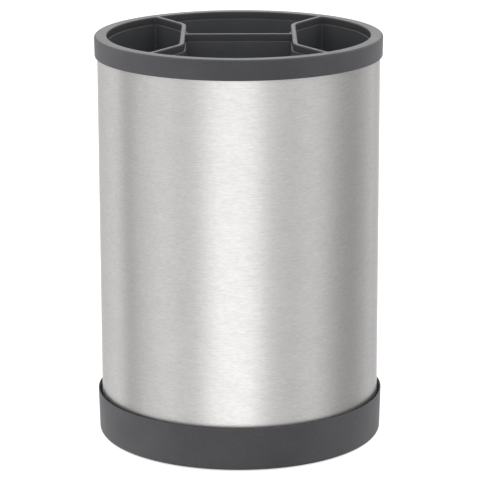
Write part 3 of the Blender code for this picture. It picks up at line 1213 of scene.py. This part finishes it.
@dataclass
class Studio:
    """Even light tent with low panels, a pale floor and low strip lights.

    The low panels end near the horizon, where only the steel and the skirts mirror them, so that the
    cells stay even.

    Attributes:
        tent: Light of the tent.
        overhead: What the tent's upper part adds to it.
        overhead_start: Elevations in degrees at which that starts and is full.
        low_panels: The low panels.
        low_end: Elevations in degrees at which they start to fade and have ended.
        panel_behind: The panel behind the object, at all heights. The rim's flat top mirrors it.
        floor_size: Side of the floor.
        floor_colour: Colour of the floor.
        floor_glow: What the camera sees added to the floor, so that it reads as white paper.
        painted_shadow_reach: How near the object an ambient-occlusion mask cuts that glow: a painted
            contact shadow round the object.
        painted_shadow_samples: Samples of that mask.
        strips: The strip lights.
    """

    tent: float = 0.755
    overhead: float = 0.55
    overhead_start: Point = (20.0, 45.0)
    low_panels: tuple[Panel, ...] = (
        Panel(-156.0, 5.0, 22.0, -0.10),
        Panel(-117.0, 3.0, 18.0, 0.12),
        Panel(-103.0, 1.0, 16.0, -0.34),
        Panel(-65.0, 1.0, 19.0, 0.16),
        Panel(-5.0, 11.0, 34.0, 0.69),
        Panel(43.0, 3.0, 14.0, -0.10),
        Panel(69.0, 3.0, 19.0, 0.09),
        Panel(103.0, 0.0, 48.0, -0.41),
        Panel(151.0, 1.0, 12.0, -0.22),
        Panel(180.0, 3.0, 17.0, -0.15),
    )
    low_end: Point = (-5.0, 15.0)
    panel_behind: Panel = Panel(180.0, 3.0, 17.0, 0.95)
    floor_size: float = 8.0
    floor_colour: str = "#8C8C8A"
    floor_glow: float = 0.95
    painted_shadow_reach: float = 0.6 * MM
    painted_shadow_samples: int = 8
    strips: tuple[StripLight, ...] = (
        StripLight("left_strip", -86.0, 16.0),
        StripLight("front_left_strip", -50.0, 9.5),
        StripLight("right_strip", 94.0, 27.0),
    )

    def build(self) -> None:
        """Builds the tent, the floor and the strip lights."""
        scene = bpy.context.scene
        scene.world = self.world()
        scene.view_settings.view_transform = "Standard"
        deselect()
        bpy.ops.mesh.primitive_plane_add(size=self.floor_size)
        floor = bpy.context.object
        floor.name = "floor"
        floor.data.materials.append(self.paper())
        floor.visible_glossy = False
        for strip in self.strips:
            strip.build()

    def paper(self) -> Material:
        """Makes the floor's white paper. Its matt part takes the object's shadow from the lights. Its
        glow is cut near the object by an ambient-occlusion mask, which makes a painted contact shadow.

        Returns:
            The material.
        """
        material = bpy.data.materials.new("white_paper")
        tree = blank_tree(material)
        seen = add_node(tree, "LightPath").outputs["Is Camera Ray"]
        # Painted contact shadow: this ambient-occlusion mask darkens the camera-only glow near the
        # object.
        clear = add_node(tree, "AmbientOcclusion", {"Distance": self.painted_shadow_reach},
                         samples=self.painted_shadow_samples).outputs["AO"]
        matt = add_node(tree, "BsdfDiffuse", {"Color": srgb(self.floor_colour)})
        full = add_node(tree, "Math", {0: seen, 1: self.floor_glow}, operation="MULTIPLY")
        glow_with_painted_shadow = add_node(tree, "Math", {0: full, 1: clear}, operation="MULTIPLY")
        glow = add_node(tree, "Emission", {"Strength": glow_with_painted_shadow})
        both = add_node(tree, "AddShader", {0: matt, 1: glow})
        add_node(tree, "OutputMaterial", {"Surface": both})
        return material

    def world(self) -> World:
        """Makes the tent with its panels. The camera sees plain white.

        Returns:
            The world.
        """
        world = bpy.data.worlds.new("light_tent")
        tree = blank_tree(world)
        way = add_node(tree, "SeparateXYZ", {0: add_node(tree, "TexCoord").outputs["Generated"]})
        ahead = add_node(tree, "Math", {0: way.outputs["Y"], 1: -1.0}, operation="MULTIPLY")
        bearing = add_node(tree, "Math", {0: way.outputs["X"], 1: ahead}, operation="ARCTAN2")
        rise = add_node(tree, "Math", {0: way.outputs["Z"]}, operation="ARCSINE")
        start, end = map(math.radians, self.low_end)
        below = add_node(tree, "MapRange", {0: rise, 1: start, 2: end, 3: 1.0, 4: 0.0},
                         interpolation_type="SMOOTHSTEP")
        start, end = map(math.radians, self.overhead_start)
        above = add_node(tree, "MapRange", {0: rise, 1: start, 2: end, 3: self.tent,
                                            4: self.tent + self.overhead},
                         interpolation_type="SMOOTHSTEP")
        low: Node | float = 0.0
        for panel in self.low_panels:
            low = self.add_panel(tree, bearing, panel, low)
        full = self.add_panel(tree, bearing, self.panel_behind, above)
        total = add_node(tree, "Math", {0: low, 1: below, 2: full}, operation="MULTIPLY_ADD")
        seen = add_node(tree, "LightPath").outputs["Is Camera Ray"]
        level = add_node(tree, "Mix", {0: seen, 2: total, 3: 1.0})
        background = add_node(tree, "Background", {"Color": WHITE, "Strength": level})
        add_node(tree, "OutputWorld", {"Surface": background})
        world.cycles.sampling_method = "NONE"
        return world

    @staticmethod
    def add_panel(tree: NodeTree, bearing: Node, panel: Panel, total: Node | float) -> Node:
        """Adds one panel's light to the tent.

        Args:
            tree: The world's node tree.
            bearing: The ray's bearing in radians.
            panel: The panel.
            total: The light so far.

        Returns:
            The light with this panel.
        """
        middle, core, reach = map(math.radians, (panel.bearing, panel.core, panel.reach))
        off = add_node(tree, "Math", {0: bearing, 1: middle}, operation="SUBTRACT")
        wrapped = add_node(tree, "Math", {0: off, 1: math.pi, 2: -math.pi}, operation="WRAP")
        apart = add_node(tree, "Math", {0: wrapped}, operation="ABSOLUTE")
        light = add_node(tree, "MapRange", {0: apart, 1: core, 2: reach, 3: panel.level, 4: 0.0},
                         interpolation_type="SMOOTHSTEP")
        return add_node(tree, "Math", {0: total, 1: light}, operation="ADD")


@dataclass(frozen=True)
class Camera:
    """Camera at the photograph's viewing angle.

    Attributes:
        place: Where it stands.
        pitch: How far it looks down.
        roll: How far it leans.
        focal_px: Focal length in pixels of the photograph.
        frame_px: Side of the photograph in pixels.
        sensor_mm: Width of the sensor.
        far: How far it sees.
    """

    place: Place = (0.00036, -1.1552, 0.3897)
    pitch: float = 0.2543
    roll: float = -0.0030
    focal_px: float = 2601.7
    frame_px: float = 480.0
    sensor_mm: float = 36.0
    far: float = 20.0

    def build(self) -> None:
        """Adds the camera and makes it the scene's."""
        deselect()
        bpy.ops.object.camera_add()
        camera = bpy.context.object
        look = Euler((math.pi / 2 - self.pitch, 0.0, 0.0)).to_matrix().to_4x4()
        camera.matrix_world = Matrix.Translation(self.place) @ look @ Matrix.Rotation(self.roll, 4, "Z")
        camera.data.sensor_width = self.sensor_mm
        camera.data.lens = self.focal_px * self.sensor_mm / self.frame_px
        camera.data.clip_end = self.far
        bpy.context.scene.camera = camera


def main() -> None:
    """Builds the holder, its studio and its camera."""
    logging.basicConfig(level=logging.INFO, format="%(name)s: %(message)s")
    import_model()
    Camera().build()
    Studio().build()
    steel, plastic, smooth_painted_light, rubber = (finish.make() for finish in (
        BrushedStainless(), POLYPROPYLENE, PAINTED_LIGHT_LINER_POLYPROPYLENE, RUBBER))
    sleeve, base, pad, frame, liner = Sleeve(), Base(), Pad(), RimFrame(), Liner()
    plan, bead = Partitions(), SnapBead()
    sleeve.dress(sleeve.build(), steel, Body.STAND, Slot.STEEL, ["steel_sleeve"])
    base.dress(base.build(), plastic, Body.STAND, Slot.PLASTIC, ["base_tray"])
    for node in PADS:
        pad.dress(pad.build(node), rubber, Body.STAND, Slot.RUBBER, [node])
    frame.dress(frame.build(plan, bead), plastic, Body.INSERT, Slot.PLASTIC, ["rim_frame"])
    cup = liner.build(plan, bead, frame)
    # The liner's finish carries painted light: colours lighter than the frame's, which lift the shade
    # in its cells.
    liner.dress(cup, smooth_painted_light, Body.INSERT, Slot.PLASTIC, ["cell_liner"])


if __name__ == "__main__":
    main()
